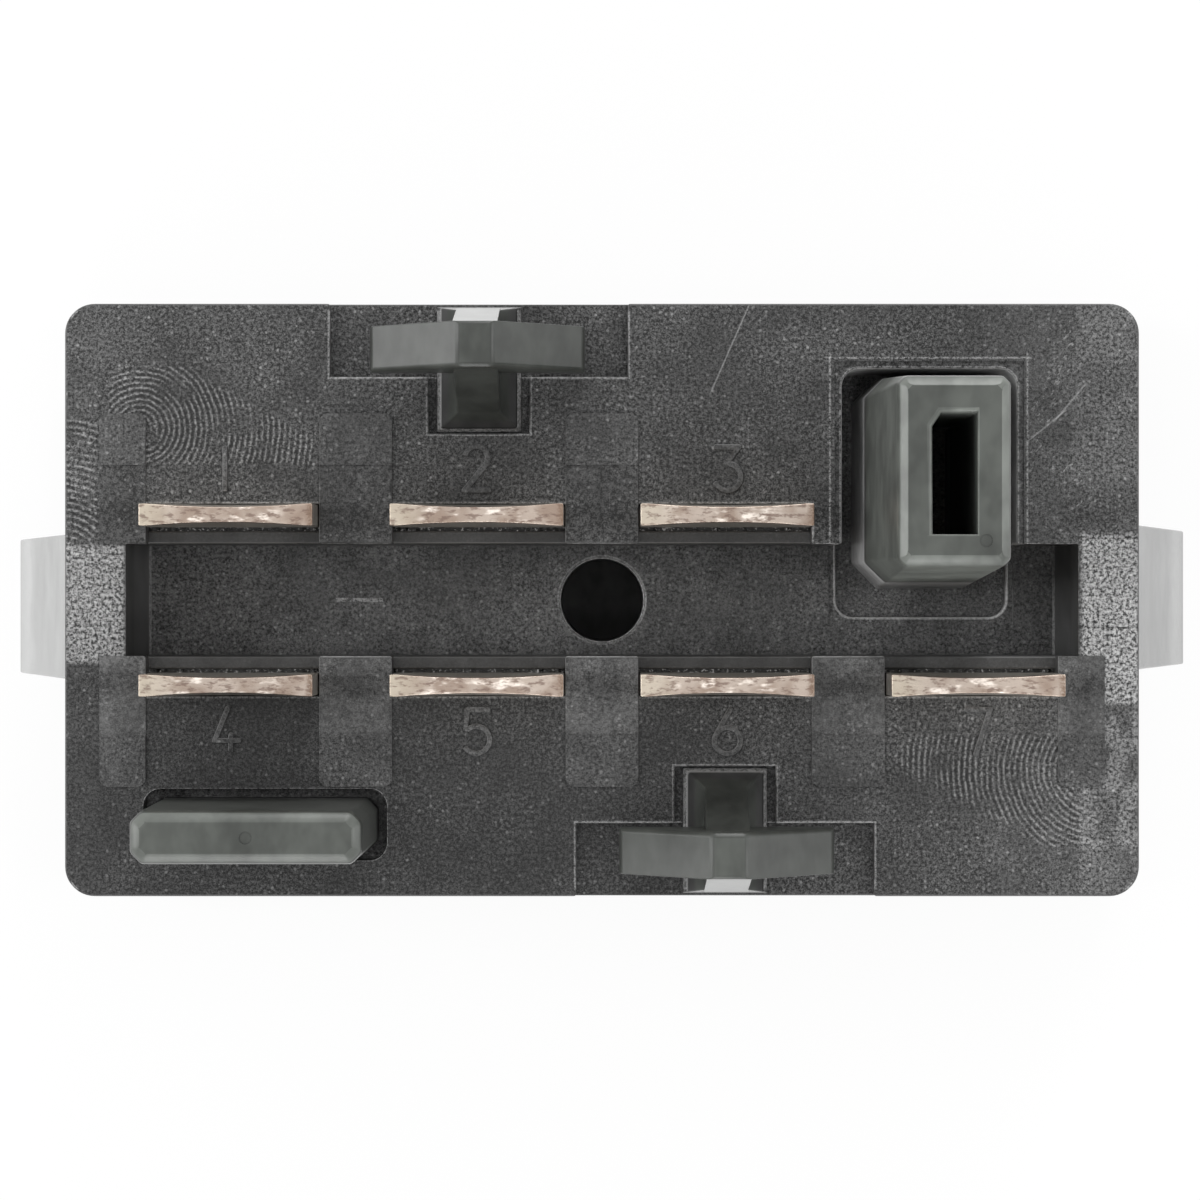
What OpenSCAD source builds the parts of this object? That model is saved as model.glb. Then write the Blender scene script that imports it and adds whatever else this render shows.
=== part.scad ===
// Hazard light switch: a snap-in push-push dashboard switch that stands on its bezel,
// terminals up. +Z points out of the terminal side and the bezel's front rim lies at Z = 0.

/* [Terminals] */
// Width of each flat blade
blade_w = 6.3; // [4.8:0.1:8]
// Thickness of each blade
blade_t = 0.8; // [0.6:0.05:1]
// Centre-to-centre distance of neighbouring blades
blade_pitch = 9.1; // [8.6:0.1:12]
// Distance of each row of blades from the middle plane
row_y = 3.1; // [2.9:0.05:3.6]
// How far the blades stand out of the rear face
blade_out = 3.1; // [2:0.1:9]
// Depth of the coined hollow across each face of a blade at its tip
coin_d = 0.13; // [0.05:0.01:0.2]
// Length of the coined hollow along the blade
coin_l = 2.4; // [1:0.1:3]

/* [Body] */
// Land between each end of the plug channel and the body's end
end_land = 2.25; // [2:0.05:6]
// Size of the body across the rows of blades
body_w = 21.9; // [21.4:0.1:30]
// Depth of the body behind the flange
body_depth = 23; // [22.6:0.1:32]
// Radius of the body's upright corners
body_r = 1.1; // [0.3:0.1:1.4]
// Thickness of the body's side walls
wall = 1.5; // [1.2:0.1:2]
// Thickness of the rear wall
rear_wall = 2; // [1.8:0.1:3]

/* [Plug channel] */
// Width of the channel between the rows
channel_w = 4.14; // [4.1:0.02:4.4]
// Depth of the channel below the rear face
channel_d = 4.4; // [3:0.1:6]
// Thickness of the channel's floor
floor_t = 1.4; // [1.2:0.1:2]
// Free length of channel past the outermost blade
channel_end = 0.8; // [0.5:0.05:1.2]
// Depth at which the channel's end walls start to lean in
end_lean_d = 2.9; // [1:0.1:2.9]
// How far each end wall leans in
end_lean = 0.5; // [0:0.05:0.8]
// Depth of the notch in front of each blade
notch_d = 1; // [0.5:0.1:2.5]
// Gap in front of each blade, below the notch
blade_front_gap = 0.13; // [0.05:0.01:0.2]
// Wall behind each blade
tub_wall = 1.2; // [1:0.1:1.6]
// Diameter of the locating hole in the channel's floor
hole_d = 3.16; // [2.5:0.02:3.6]

/* [Plug latches] */
// Half length of a latch's cross bar
bar_half = 3.92; // [3:0.01:4.4]
// Thickness of the cross bar
bar_t = 1.68; // [1.2:0.01:2]
// Distance of the cross bar's outer face inside the body's side
bar_inset = 0.97; // [0.8:0.01:1.4]
// Height of the bar's ridge over the rear face
bar_top = 5.5; // [4.5:0.1:7]
// Height of the bar's tips over the rear face
bar_tip = 2.1; // [1.9:0.1:3]
// Height of the bar's catch face over the rear face
bar_under = 1.5; // [1:0.1:1.8]
// Half width of the flat on the bar's ridge
ridge_half = 0.62; // [0.4:0.01:1]
// Width of the latch's stem
stem_w = 1.6; // [1.3:0.05:2]
// Reach of the stem's gusset towards the channel
gusset = 1.9; // [1:0.1:2.4]
// Half length of the relief round each latch
relief_half = 5.5; // [4.6:0.1:6]
// Width of the relief, from the body's side
relief_w = 2.7; // [2.65:0.05:3]
// Depth of the relief
relief_d = 0.5; // [0.2:0.05:0.8]

/* [Coding post] */
// Centre of the post's foot along and across the body
post_at = [12.1, 4.43];
// Size of the post's foot along and across the body
post_root = [5.2, 7.98];
// Size of the post's tip along and across the body
post_tip = [3.9, 6.56];
// Height of the post over the rear face
post_h = 11.6; // [6:0.1:14]
// Chamfer of the post's upright edges at its foot and at its tip
post_chamfer = [0.95, 0.25];
// Chamfer of the edges of the post's and the rib's end faces
tip_chamfer = 0.33; // [0.1:0.01:0.4]
// Size of the slot in the post's end
post_slot = [1.54, 4.15];
// How far the slot stands off the post's middle, across the body
post_slot_y = -0.1; // [-0.3:0.05:0.3]
// Depth of the slot in the post's end
post_slot_d = 14; // [6:0.5:15]
// Size of the sunk moat round the post
moat = [6.46, 9.2];
// Depth of the moat below the channel's floor
moat_d = 0.6; // [0.2:0.1:0.8]
// Radius of the moat's corners
moat_r = 0.65; // [0.3:0.05:1]
// Width of the ledge round the moat
moat_ledge = 0.27; // [0.1:0.01:0.3]

/* [Coding rib] */
// Distance of the rib's centre from the nearer end of the body
rib_x = 7.4; // [7.2:0.05:8]
// Distance of the rib's centre inside the body's side
rib_inset = 2.65; // [2.5:0.05:2.8]
// Length and thickness of the rib's root
rib_root = [8.3, 1.94];
// Length and thickness of the rib's tip
rib_tip = [8.16, 1.88];
// Height of the rib over the rear face
rib_h = 9; // [4:0.1:11]
// Width of the sunk gap round the rib's root
rib_gap = 0.35; // [0.3:0.05:0.5]
// Depth of the sunk gap
rib_gap_d = 1.2; // [0.6:0.1:1.4]

/* [Side arms] */
// Width of each spring arm
arm_w = 5.4; // [4:0.1:6]
// Offset of the two arms from the middle plane, the -X one first
arm_y = [-0.25, 0.1];
// Thickness of each spring arm
arm_t = 1.25; // [0.8:0.05:1.3]
// How far the arm's knee stands out of the body's end
arm_out = 3.72; // [2:0.01:4.2]
// Depth of the knee below the rear face
knee_d = 15.5; // [13:0.1:16.5]
// How far the arm's free end stands out of the body's end
arm_end_out = 1.5; // [1.35:0.05:2]
// Height of the arm's free end over the flange
panel_gap = 2; // [1:0.1:3]
// Free space on each side of an arm in its window
arm_gap = 0.4; // [0.3:0.05:0.6]

/* [Flange and button] */
// How far the flange stands past the body's ends
lip_x = 2.65; // [2:0.05:2.8]
// How far the flange stands past the body's sides
lip_y = 1.35; // [1:0.05:1.4]
// Thickness of the flange
flange_t = 3; // [2.6:0.1:4]
// Radius of the flange's corners
flange_r = 2.5; // [1:0.1:4]
// Chamfer of the flange's front edges
flange_chamfer = 0.8; // [0.3:0.05:1.1]
// Length of the bezel's collar inside the body
collar_h = 5; // [4.8:0.1:5.2]
// Wall of the bezel's collar
collar_wall = 1; // [0.8:0.05:1.1]
// Clearance between the collar and the body
collar_gap = 0.1; // [0.05:0.01:0.15]
// Clearance between the button and the bezel
button_gap = 0.2; // [0.15:0.01:0.3]
// Depth of the button's face behind the bezel's rim
button_sink = 0.5; // [0.3:0.05:0.6]
// Thickness of the button's face
face_t = 1.8; // [1.7:0.1:2]
// Depth of the finger hollow in the button's face
dish_d = 0.5; // [0.2:0.05:0.6]
// Wall of the button's skirt
skirt_wall = 1.2; // [1:0.05:1.3]
// Travel of the button
travel = 3; // [2:0.1:3]
// Distance of the outer and the inner triangle's corners from their middle
symbol_r = [7.6, 3.9];
// Width of the symbol's lines
symbol_line = 1; // [0.6:0.05:1.2]

/* [Mechanism] */
// Thickness of the slider's plate
plate_t = 1.4; // [1:0.1:1.4]
// Mean radius, wire and turns of the return spring
return_coil = [2.5, 0.5, 8.5];
// Mean radius, wire and turns of each contact spring
contact_coil = [1.13, 0.3, 7];
// Length, width and thickness of a contact bridge
bridge = [8, 3, 0.6];
// Diameter and height of a contact rivet's head
rivet = [2, 0.35];
// Distance of the lamps from the middle
lamp_x = 6.5; // [6:0.1:6.6]
// Diameter of a lamp's glass
lamp_d = 4; // [3:0.1:4.2]
// Diameter of the catch pin's wire
pin_d = 0.8; // [0.6:0.05:0.9]
// Running clearance of the catch pin
pin_gap = 0.08; // [0.05:0.01:0.1]
// Sideways throw of the catch pin over the button's travel
pin_throw = 0.8; // [0.5:0.05:1]

/* [Hidden] */
$fn = 64;
eps = 0.01;
big = 100;

// Outer sizes and levels
channel_l = 3 * blade_pitch + blade_w + 2 * channel_end;
body_l = channel_l + 2 * end_land;
half_l = body_l / 2;
half_w = body_w / 2;
rear_z = flange_t + body_depth;
inner_half_l = half_l - wall;
inner_half_w = half_w - wall;
floor_top = rear_z - channel_d;
floor_under = floor_top - floor_t;
moat_floor = floor_top - moat_d;

// Blades
blade_back_gap = 0.04;
slot_w = blade_w + 0.1;
tub_half_w = row_y + blade_t / 2 + tub_wall;
shoulder_w = blade_w + 1.1;
foot_w = 5.8;
foot_t = blade_t;
foot_z = floor_under - 2.3;
bend_r = 0.4;

// Surface marks of the rear face
strip_raise = 0.06;
strip_end = 6.9;
strip_mid = 5;
strip_r = 0.35;
digit_y = 4.85;
digit_pitch = 9.28;
digit_line = 0.2;
digit_raise = 0.08;
dash = [1.8, 0.16];
dash_x = -9.2;
hole_rim = 0.1;
moat_y = 3.95;
ledge_d = 0.08;
dot_d = 0.45;
dot_sink = 0.04;
dot_off_slot = [0.3, 0.22];

// Corners of the rib and of the gap round it
rib_chamfer = [0.4, 0.4];
rib_gap_r = 0.65;

// Stem pocket of the latches
pocket_half = 1.87;
pocket_reach = 2.1;
pocket_d = 0.4;
stem_foot_inset = 0.1;
flare_half = 1.56;
flare_reach = 0.7;
flare_top = 1;

// Bezel, collar and snaps
flange_half_l = half_l + lip_x;
flange_half_w = half_w + lip_y;
collar_half_l = inner_half_l - collar_gap;
collar_half_w = inner_half_w - collar_gap;
opening_half_l = collar_half_l - collar_wall;
opening_half_w = collar_half_w - collar_wall;
opening_r = 1.4;
opening_chamfer = 0.35;
collar_end = flange_t + collar_h;
snap_x = 11;
snap_w = 4;
snap_out = 0.7;
snap_z = [flange_t + 1.9, flange_t + 3.4];
snap_clear = 0.15;

// Button
cap_half_l = opening_half_l - button_gap;
cap_half_w = opening_half_w - button_gap;
cap_r = opening_r - button_gap;
cap_back = button_sink + face_t;
ledge_z = button_sink + 4.5;
ledge_wall = skirt_wall + 0.8;
stop_gap = 0.05;
stop_z = collar_end + stop_gap;
stop_t = 0.85;
skirt_end = stop_z + stop_t;
stop_out = 0.6;
stop_w = 5;
inlay_d = 0.7;
inlay_z = button_sink + dish_d + inlay_d;
cap_snap_w = 4;
cap_snap_in = 0.35;
cap_snap_x = 4;
dish_half = [cap_half_l - 1, cap_half_l - 6];

// Slider
plate_gap = 0.1;
plate_half_l = cap_half_l - skirt_wall - plate_gap;
plate_half_w = cap_half_w - skirt_wall - plate_gap;
plate_top = ledge_z + plate_t;
diffuser_t = 0.8;
peg_d = 1.2;
peg_xy = [12, 4.4];
boss_d = 3;
boss_h = 2.5;
guide_end = plate_top + boss_h + travel + 0.7;
guide_end_t = 0.8;
guide_gap = 0.1;
lamp_hole_d = lamp_d + 1;

// Contacts, with their springs just inside the button's skirt
coil_gap = 0.07;
contact_y = plate_half_w + plate_gap - contact_coil[0] - contact_coil[1] / 2 - coil_gap;
foot_end = contact_y + 1.6;
fixed_face = foot_z - rivet[1];
contact_gap = travel + 0.05;
moving_face = fixed_face - contact_gap;
bridge_top = moving_face - rivet[1];
bridge_under = bridge_top - bridge[2];
post_d = 1.5;
post_hole_d = 1.7;
post_head_d = 2.2;
post_head_h = 0.5;
post_head_gap = 0.05;
rivet_x = 2.9;
rivet_shank_d = 1;
coil_seat = 0.05;

// Lamps
holder_h = 2.4;
holder_d = lamp_d + 1;
holder_bottom = floor_under - holder_h;
lamp_tip = plate_top + 1.6;
lead_w = 0.9;
lead_t = 0.3;
lead_y = 1;
lead_z = floor_under - 1;

// Catch pin and heart-shaped cam
pin_pivot_z = floor_under - 1;
pin_rest_z = plate_top + 4.2;
pin_x = 11.8;
pin_bearing_x = [9.6, 11.3];
bearing_w = 2.4;
bearing_h = 1.9;
cam_x = [12.5, 14.6];
cam_half_w = 2.3;
cam_top = pin_rest_z + 1.4;
cam_d = 1;
cam_w = pin_d + 2 * pin_gap;

function side_of(n) = n <= 3 ? 1 : -1;
function blade_x(n) = (n <= 3 ? n - 2.5 : n - 5.5) * blade_pitch;
function ring_angles(a0, a1) = [for (k = [0:8]) a0 + (a1 - a0) * k / 8];

// A block centred on X and Y between two heights
module slab(half, z0, z1) {
    translate([-half[0], -half[1], z0]) cube([2 * half[0], 2 * half[1], z1 - z0]);
}

// A block with round upright corners
module round_slab(half, r, z0, z1) {
    translate([0, 0, z0]) linear_extrude(z1 - z0) round_rect(half, r);
}

module round_rect(half, r) {
    square([2 * half[0] - 2 * r, 2 * half[1]], center = true);
    square([2 * half[0], 2 * half[1] - 2 * r], center = true);
    for (sx = [-1, 1], sy = [-1, 1])
        translate([sx * (half[0] - r), sy * (half[1] - r)]) circle(r);
}

// A profile drawn in Y and Z, made into a solid across X
module across_x(x0, x1) {
    translate([x0, 0, 0]) rotate([90, 0, 90]) linear_extrude(x1 - x0) children();
}

// A profile drawn in X and Z, made into a solid across Y
module across_y(y0, y1) {
    translate([0, y1, 0]) rotate([90, 0, 0]) linear_extrude(y1 - y0) children();
}

// A block that tapers from one size to another, with chamfers on its upright edges, whose size
// also runs from one value to another, and on the edges of its end face
module tapered(root, tip, z0, z1, chamfer) {
    intersection() {
        drafted(root, tip, z0, z1);
        rotate([0, 0, 45]) drafted(across_corners(root, chamfer[0]), across_corners(tip, chamfer[1]),
            z0, z1);
    }
}

function across_corners(size, chamfer) = (size[0] + size[1] - 2 * chamfer) / sqrt(2) * [1, 1];

module drafted(root, tip, z0, z1) {
    reach = root[0] + root[1];
    intersection() {
        across_y(-reach, reach) taper_side(root[0], tip[0], z0, z1);
        across_x(-reach, reach) taper_side(root[1], tip[1], z0, z1);
    }
}

module taper_side(w0, w1, z0, z1) {
    c = tip_chamfer;
    polygon([[-w0 / 2, z0], [w0 / 2, z0], [w1 / 2, z1 - c], [w1 / 2 - c, z1],
        [c - w1 / 2, z1], [-w1 / 2, z1 - c]]);
}

// A straight stroke of a line drawing
module stroke(p, q, w) {
    d = q - p;
    translate(p) rotate(atan2(d[1], d[0])) translate([0, -w / 2]) square([norm(d), w]);
}

// Strokes through a list of points, with round joints
module path(points, w) {
    for (k = [0:len(points) - 2]) stroke(points[k], points[k + 1], w);
    for (p = points) translate(p) circle(w / 2, $fn = 24);
}

// A curved stroke
module arc(centre, r, a0, a1, w) {
    translate(centre) intersection() {
        difference() {
            circle(r + w / 2);
            circle(r - w / 2);
        }
        polygon([[0, 0], for (a = ring_angles(a0, a1)) 2 * r * [cos(a), sin(a)]]);
    }
}

// A terminal number, in a cell 1 wide and 1.8 high about its centre
module digit(n, w) {
    if (n == 1) stroke([0, -0.85], [0, 0.85], w);
    if (n == 2) {
        arc([0, 0.4], 0.42, -35, 170, w);
        path([[0.34, 0.16], [-0.44, -0.8], [0.46, -0.8]], w);
    }
    if (n == 3) {
        path([[-0.42, 0.8], [0.42, 0.8], [-0.02, 0.2]], w);
        arc([0, -0.31], 0.5, -160, 92, w);
    }
    if (n == 4) {
        path([[0.1, 0.85], [-0.38, -0.35], [0.5, -0.35]], w);
        stroke([0.22, -0.05], [0.22, -0.78], w);
    }
    if (n == 5) {
        path([[0.42, 0.8], [-0.34, 0.8], [-0.38, 0.1]], w);
        arc([0, -0.32], 0.5, -150, 135, w);
    }
    if (n == 6) {
        difference() {
            translate([0, -0.36]) circle(0.48 + w / 2);
            translate([0, -0.36]) circle(0.48 - w / 2);
        }
        stroke([-0.44, -0.17], [0.14, 0.88], w);
    }
    if (n == 7) path([[-0.44, 0.8], [0.42, 0.8], [-0.1, -0.85]], w);
}

// ---------------------------------------------------------------- rear housing

module rear_housing() {
    color([0.09, 0.09, 0.09]) difference() {
        union() {
            shell();
            tub();
            rear_strips();
            for (n = [1:7]) terminal_number(n);
            for (s = [1, -1]) latch(s);
            for (s = [1, -1]) arm(s);
            pin_bearing();
            spring_guide();
        }
        channel_cuts();
        moat_cut();
        rib_gap_cut();
        bezel_windows();
        locating_hole();
    }
    color([0.09, 0.09, 0.09]) {
        coding_post();
        coding_rib();
        floor_dash();
    }
}

module shell() {
    difference() {
        round_slab([half_l, half_w], body_r, flange_t, rear_z);
        slab([inner_half_l, inner_half_w], flange_t - eps, rear_z - rear_wall);
        for (s = [1, -1]) translate([s * (half_l - wall / 2), arm_offset(s), 0])
            slab([wall, arm_w / 2 + arm_gap], flange_t - eps, arm_root_z());
        for (s = [1, -1]) latch_relief(s);
    }
}

function arm_root_z() = rear_z - 4;

function arm_offset(s) = s > 0 ? arm_y[1] : arm_y[0];

// The trough behind the channel and the block round the coding post
module tub() {
    slab([inner_half_l + eps, tub_half_w], floor_under, rear_z - rear_wall + eps);
    translate([post_at[0] - moat[0] / 2 - 1, 0, floor_under])
        cube([moat[0] + 2, inner_half_w + eps, rear_z - rear_wall + eps - floor_under]);
}

// The blind tube under the locating hole, which guides the return spring
module spring_guide() {
    translate([0, 0, guide_end])
        cylinder(r = return_coil[0] - return_coil[1] / 2 - guide_gap, h = floor_under - guide_end + eps);
}

module locating_hole() {
    bottom = guide_end + guide_end_t;
    translate([0, 0, bottom]) cylinder(d = hole_d, h = floor_top - bottom + eps);
    translate([0, 0, floor_top - hole_rim])
        cylinder(d1 = hole_d, d2 = hole_d + 2 * hole_rim + 2 * eps, h = hole_rim + eps);
}

// The channel with its leaning ends, and a notch and a slot for each blade
module channel_cuts() {
    half = channel_w / 2;
    across_y(-half, half) polygon([[-channel_l / 2, rear_z + 1], [channel_l / 2, rear_z + 1],
        [channel_l / 2, rear_z - end_lean_d], [channel_l / 2 - end_lean, floor_top],
        [-channel_l / 2 + end_lean, floor_top], [-channel_l / 2, rear_z - end_lean_d]]);
    for (n = [1:7]) {
        inner = row_y - blade_t / 2 - blade_front_gap;
        outer = row_y + blade_t / 2 + blade_back_gap;
        translate([blade_x(n), 0, 0]) {
            cut_between(side_of(n), half - eps, outer, slot_w / 2, rear_z - notch_d, rear_z + 1);
            cut_between(side_of(n), inner, outer, slot_w / 2, floor_under - eps, rear_z);
        }
    }
}

// A block from one distance to another on one side of the middle plane
module cut_between(side, y0, y1, half_x, z0, z1) {
    translate([0, side * (y0 + y1) / 2, 0]) slab([half_x, (y1 - y0) / 2], z0, z1);
}

// The moat, with a shallow ledge where it opens in the rear face and in the channel's floor
module moat_cut() {
    half = moat / 2;
    ledge = half + moat_ledge * [1, 1];
    translate([post_at[0], moat_y, 0]) {
        round_slab(half, moat_r, moat_floor, rear_z + 1);
        slab(ledge, rear_z - ledge_d, rear_z + 1);
    }
    translate([post_at[0] - ledge[0], moat_y - ledge[1], floor_top - ledge_d])
        cube([2 * ledge[0], channel_w / 2 - moat_y + ledge[1], 1]);
}

module coding_post() {
    translate([post_at[0], post_at[1], 0]) difference() {
        tapered(post_root, post_tip, moat_floor - eps, rear_z + post_h, post_chamfer);
        translate([0, post_slot_y, rear_z + post_h - post_slot_d])
            linear_extrude(post_slot_d + 1) slot_outline();
        translate([post_slot[0] / 2 + dot_off_slot[0],
            post_slot_y - post_slot[1] / 2 - dot_off_slot[1], 0]) ejector_dot(rear_z + post_h);
    }
}

// The round mark that an ejector pin leaves in an end face
module ejector_dot(face_z) {
    translate([0, 0, face_z - dot_sink]) cylinder(d = dot_d, h = 1);
}

// The slot has one cut corner
module slot_outline() {
    half = post_slot / 2;
    cut = 0.3;
    polygon([[-half[0], -half[1]], [half[0], -half[1]], [half[0], half[1]],
        [-half[0] + cut, half[1]], [-half[0], half[1] - 1.5 * cut]]);
}

module at_rib() {
    translate([rib_x - half_l, rib_inset - half_w, 0]) children();
}

module rib_gap_cut() {
    at_rib() round_slab([rib_root[0] / 2 + rib_gap, rib_root[1] / 2 + rib_gap], rib_gap_r,
        rear_z - rib_gap_d, rear_z + 1);
}

module coding_rib() {
    at_rib() difference() {
        tapered(rib_root, rib_tip, rear_z - rib_gap_d - eps, rear_z + rib_h, rib_chamfer);
        ejector_dot(rear_z + rib_h);
    }
}

// Raised strips of the rear face between the blades
module rear_strips() {
    gap = blade_pitch - slot_w;
    for (n = [1:7]) if (n != 3 && n != 7)
        translate([blade_x(n) + blade_pitch / 2, 0, 0]) rear_strip(side_of(n), gap / 2);
    for (n = [1, 4, 7]) {
        s = n == 7 ? 1 : -1;
        translate([blade_x(n) + s * (slot_w / 2 + 0.86), 0, 0]) rear_strip(side_of(n), 0.86);
    }
}

module rear_strip(side, half_x) {
    cut_between(side, channel_w / 2 - eps, strip_mid, half_x, rear_z - eps, rear_z + strip_raise);
    top = rear_z + 2 * strip_raise;
    cut_between(side, strip_mid - eps, strip_end - strip_r, half_x, rear_z - eps, top);
    cut_between(side, strip_mid - eps, strip_end, half_x - strip_r, rear_z - eps, top);
    for (sx = [-1, 1])
        translate([sx * (half_x - strip_r), side * (strip_end - strip_r), rear_z - eps])
            cylinder(r = strip_r, h = 2 * strip_raise + eps);
}

module terminal_number(n) {
    translate([blade_x(n) / blade_pitch * digit_pitch, side_of(n) * digit_y, rear_z - eps])
        linear_extrude(digit_raise + eps) digit(n, digit_line);
}

module floor_dash() {
    translate([dash_x, 0, 0]) slab(dash / 2, floor_top - eps, floor_top + digit_raise);
}

// The parts of a latch face the side given by s and stand at half a pitch from the middle
module at_latch(s) {
    translate([-s * blade_pitch / 2, 0, rear_z]) rotate([0, 0, s > 0 ? 0 : 180]) children();
}

module latch_relief(s) {
    at_latch(s) {
        translate([0, half_w, 0]) slab([relief_half, relief_w], -relief_d, 1);
        translate([0, half_w - relief_w, 0])
            slab([pocket_half, pocket_reach], -pocket_d, 1);
    }
}

module latch(s) {
    outer = half_w - bar_inset;
    inner = outer - bar_t;
    root_z = -rear_wall / 2;
    toe = inner - gusset;
    foot = half_w - stem_foot_inset;
    at_latch(s) {
        across_y(inner, outer) polygon([[-bar_half, bar_under], [bar_half, bar_under],
            [bar_half, bar_tip], [ridge_half, bar_top], [-ridge_half, bar_top],
            [-bar_half, bar_tip]]);
        across_x(-stem_w / 2, stem_w / 2) polygon([[toe + 0.5, root_z], [toe + 0.5, flare_top],
            [inner, bar_under + 2.6], [inner, bar_top - 0.3], [outer, bar_top - 0.3],
            [foot - 0.1, 0.6], [foot, root_z]]);
        intersection() {
            across_x(-flare_half, flare_half) polygon([[toe - 0.2, root_z],
                [toe - 0.2, -pocket_d / 2], [toe - 0.2 + flare_reach, flare_top],
                [foot - 0.2, flare_top], [foot, -pocket_d], [foot, root_z]]);
            across_y(toe - 1, foot + 1) polygon([[-flare_half, root_z],
                [-flare_half, -pocket_d / 2], [-stem_w / 2, flare_top], [stem_w / 2, flare_top],
                [flare_half, -pocket_d / 2], [flare_half, root_z]]);
        }
    }
}

// A spring arm: it leaves the body near the rear face, swells to its knee and ends at the panel
module arm(s) {
    knee_z = rear_z - knee_d;
    end_z = flange_t + panel_gap;
    knee_x = half_l + arm_out;
    end_x = half_l + arm_end_out;
    root_top = rear_z - 0.8;
    translate([0, arm_offset(s), 0]) rotate([0, 0, s > 0 ? 0 : 180])
        across_y(-arm_w / 2, arm_w / 2) polygon([[half_l - wall, root_top], [half_l, root_top],
            [knee_x, knee_z], [knee_x - 0.25, knee_z - 1], [end_x, end_z], [end_x - arm_t, end_z],
            [knee_x - arm_t - 0.1, knee_z - 0.4], [knee_x - arm_t, knee_z + 0.6],
            [half_l - 0.15, arm_root_z()], [half_l - wall, arm_root_z()]]);
}

module bezel_windows() {
    for (sx = [-1, 1], sy = [-1, 1])
        translate([sx * snap_x, sy * (half_w - wall / 2), 0])
            slab([snap_w / 2 + snap_clear, wall], snap_z[0] - snap_clear,
                snap_z[1] + snap_clear);
}

// The bearing of the catch pin, under the channel's floor
module pin_bearing() {
    difference() {
        translate([pin_bearing_x[0], -bearing_w / 2, floor_under - bearing_h])
            cube([pin_bearing_x[1] - pin_bearing_x[0], bearing_w, bearing_h + eps]);
        translate([pin_bearing_x[0] - 1, 0, pin_pivot_z]) rotate([0, 90, 0])
            cylinder(d = pin_d + 2 * pin_gap, h = 4, $fn = 32);
    }
}

// ---------------------------------------------------------------- terminals

module terminal(n) {
    tip = rear_z + blade_out;
    side = side_of(n);
    color([0.72, 0.66, 0.6]) translate([blade_x(n), 0, 0]) rotate([0, 0, side > 0 ? 0 : 180])
        difference() {
            union() {
                translate([0, row_y, 0]) {
                    slab([blade_w / 2, blade_t / 2], foot_z + foot_t + bend_r, tip);
                    slab([shoulder_w / 2, blade_t / 2], foot_z + foot_t + bend_r, floor_under);
                }
                if (n == 3) translate([0, row_y, 0])
                    slab([foot_w / 2, blade_t / 2], foot_z, foot_z + foot_t + bend_r + eps);
                else foot();
            }
            for (face = [1, -1]) coined_hollow(face, tip);
            if (n != 3) for (sx = foot_rivets(n)) translate([side * sx * (blade_pitch / 2 - rivet_x),
                contact_y, foot_z - eps])
                cylinder(d = rivet_shank_d, h = foot_t + 2 * eps, $fn = 32);
        }
}

// The sides of blade n on which a bridge touches its foot: +1 towards +X
function foot_rivets(n) = n == 1 || n == 4 || n == 6 ? [1] : [-1];

// The foot, bent outwards from the blade
module foot() {
    y0 = row_y - blade_t / 2;
    across_x(-foot_w / 2, foot_w / 2) {
        translate([y0 + foot_t + bend_r, foot_z])
            square([foot_end - y0 - foot_t - bend_r, foot_t]);
        translate([y0 + foot_t + bend_r, foot_z + foot_t + bend_r]) intersection() {
            difference() {
                circle(foot_t + bend_r);
                circle(bend_r);
            }
            translate([-foot_t - bend_r, -foot_t - bend_r]) square(foot_t + bend_r + eps);
        }
    }
}

// A shallow hollow that thins the blade towards the middle of its tip
module coined_hollow(face, tip) {
    chord = blade_w / 2 - 0.25;
    r = (chord * chord + coin_d * coin_d) / (2 * coin_d);
    tilt = atan(coin_d / coin_l);
    translate([0, row_y + face * (blade_t / 2 - coin_d), tip]) rotate([face * tilt, 0, 0])
        translate([0, face * r, -coin_l]) cylinder(r = r, h = coin_l + 1, $fn = 180);
}

// ---------------------------------------------------------------- bezel and button

module front_bezel() {
    color([0.08, 0.08, 0.08]) difference() {
        union() {
            chamfered_flange();
            round_slab([collar_half_l, collar_half_w], opening_r, flange_t - eps, collar_end);
            for (sx = [-1, 1], sy = [-1, 1]) translate([sx * snap_x, 0, 0])
                rotate([0, 0, sy > 0 ? 0 : 180]) across_x(-snap_w / 2, snap_w / 2)
                    polygon([[collar_half_w - 0.4, snap_z[0]], [collar_half_w + snap_out, snap_z[0]],
                        [collar_half_w + snap_out, snap_z[0] + 0.4],
                        [collar_half_w, snap_z[1]], [collar_half_w - 0.4, snap_z[1]]]);
        }
        round_slab([opening_half_l, opening_half_w], opening_r, -1, collar_end + 1);
        opening_bevel();
    }
}

// The flange, with its front edges cut at 45 degrees all the way round
module chamfered_flange() {
    r = flange_r;
    c = flange_chamfer;
    round_slab([flange_half_l, flange_half_w], r, c, flange_t);
    across_y(r - flange_half_w, flange_half_w - r) bevel_outline(flange_half_l);
    across_x(r - flange_half_l, flange_half_l - r) bevel_outline(flange_half_w);
    for (sx = [-1, 1], sy = [-1, 1])
        translate([sx * (flange_half_l - r), sy * (flange_half_w - r), 0])
            cylinder(r1 = max(r - c, 0.1), r2 = r, h = c);
}

module bevel_outline(half) {
    c = flange_chamfer;
    polygon([[-half + c, 0], [half - c, 0], [half, c], [-half, c]]);
}

module opening_bevel() {
    c = opening_chamfer;
    intersection() {
        across_y(-big, big) flare(opening_half_l, c);
        across_x(-big, big) flare(opening_half_w, c);
    }
}

module flare(half, c) {
    polygon([[-half - c - 1, -1], [half + c + 1, -1], [half, c], [-half, c]]);
}

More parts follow.
